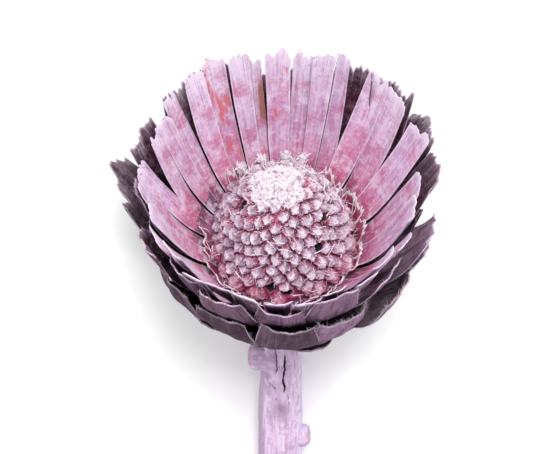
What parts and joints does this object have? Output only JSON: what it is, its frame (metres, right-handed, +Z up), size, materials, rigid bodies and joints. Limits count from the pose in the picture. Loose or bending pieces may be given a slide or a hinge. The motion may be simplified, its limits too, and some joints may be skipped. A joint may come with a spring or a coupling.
{
  "type": "protea",
  "caption": "Dried protea bloom on a cut stem, lying on its back: an open bowl of straight inner bracts round a toothed dome, broad dark bracts behind.",
  "frame": {"origin": "under the middle of the flower's bounding box, on the surface that it lies on", "axes": "+Z up from the surface; +Y along the stem towards its cut end; the head's own axis stands 38 degrees above the surface and leans towards -Y"},
  "size_m": [0.0818, 0.1402, 0.0751],
  "materials": {
    "receptacle": "dry matt, white bloom over dusty pink",
    "inner_bracts": "dry matt, dusty pink with pale tips",
    "middle_bracts": "dry matt, plum with pale rims",
    "outer_bracts": "dry matt, dark plum",
    "stem": "dry bark, pale lilac pink"
  },
  "bodies": {
    "root": {"stem": "stem", "receptacle": "receptacle", "inner_bracts": "inner_bracts", "middle_bracts": "middle_bracts", "outer_bracts": "outer_bracts"}
  },
  "joints": []
}
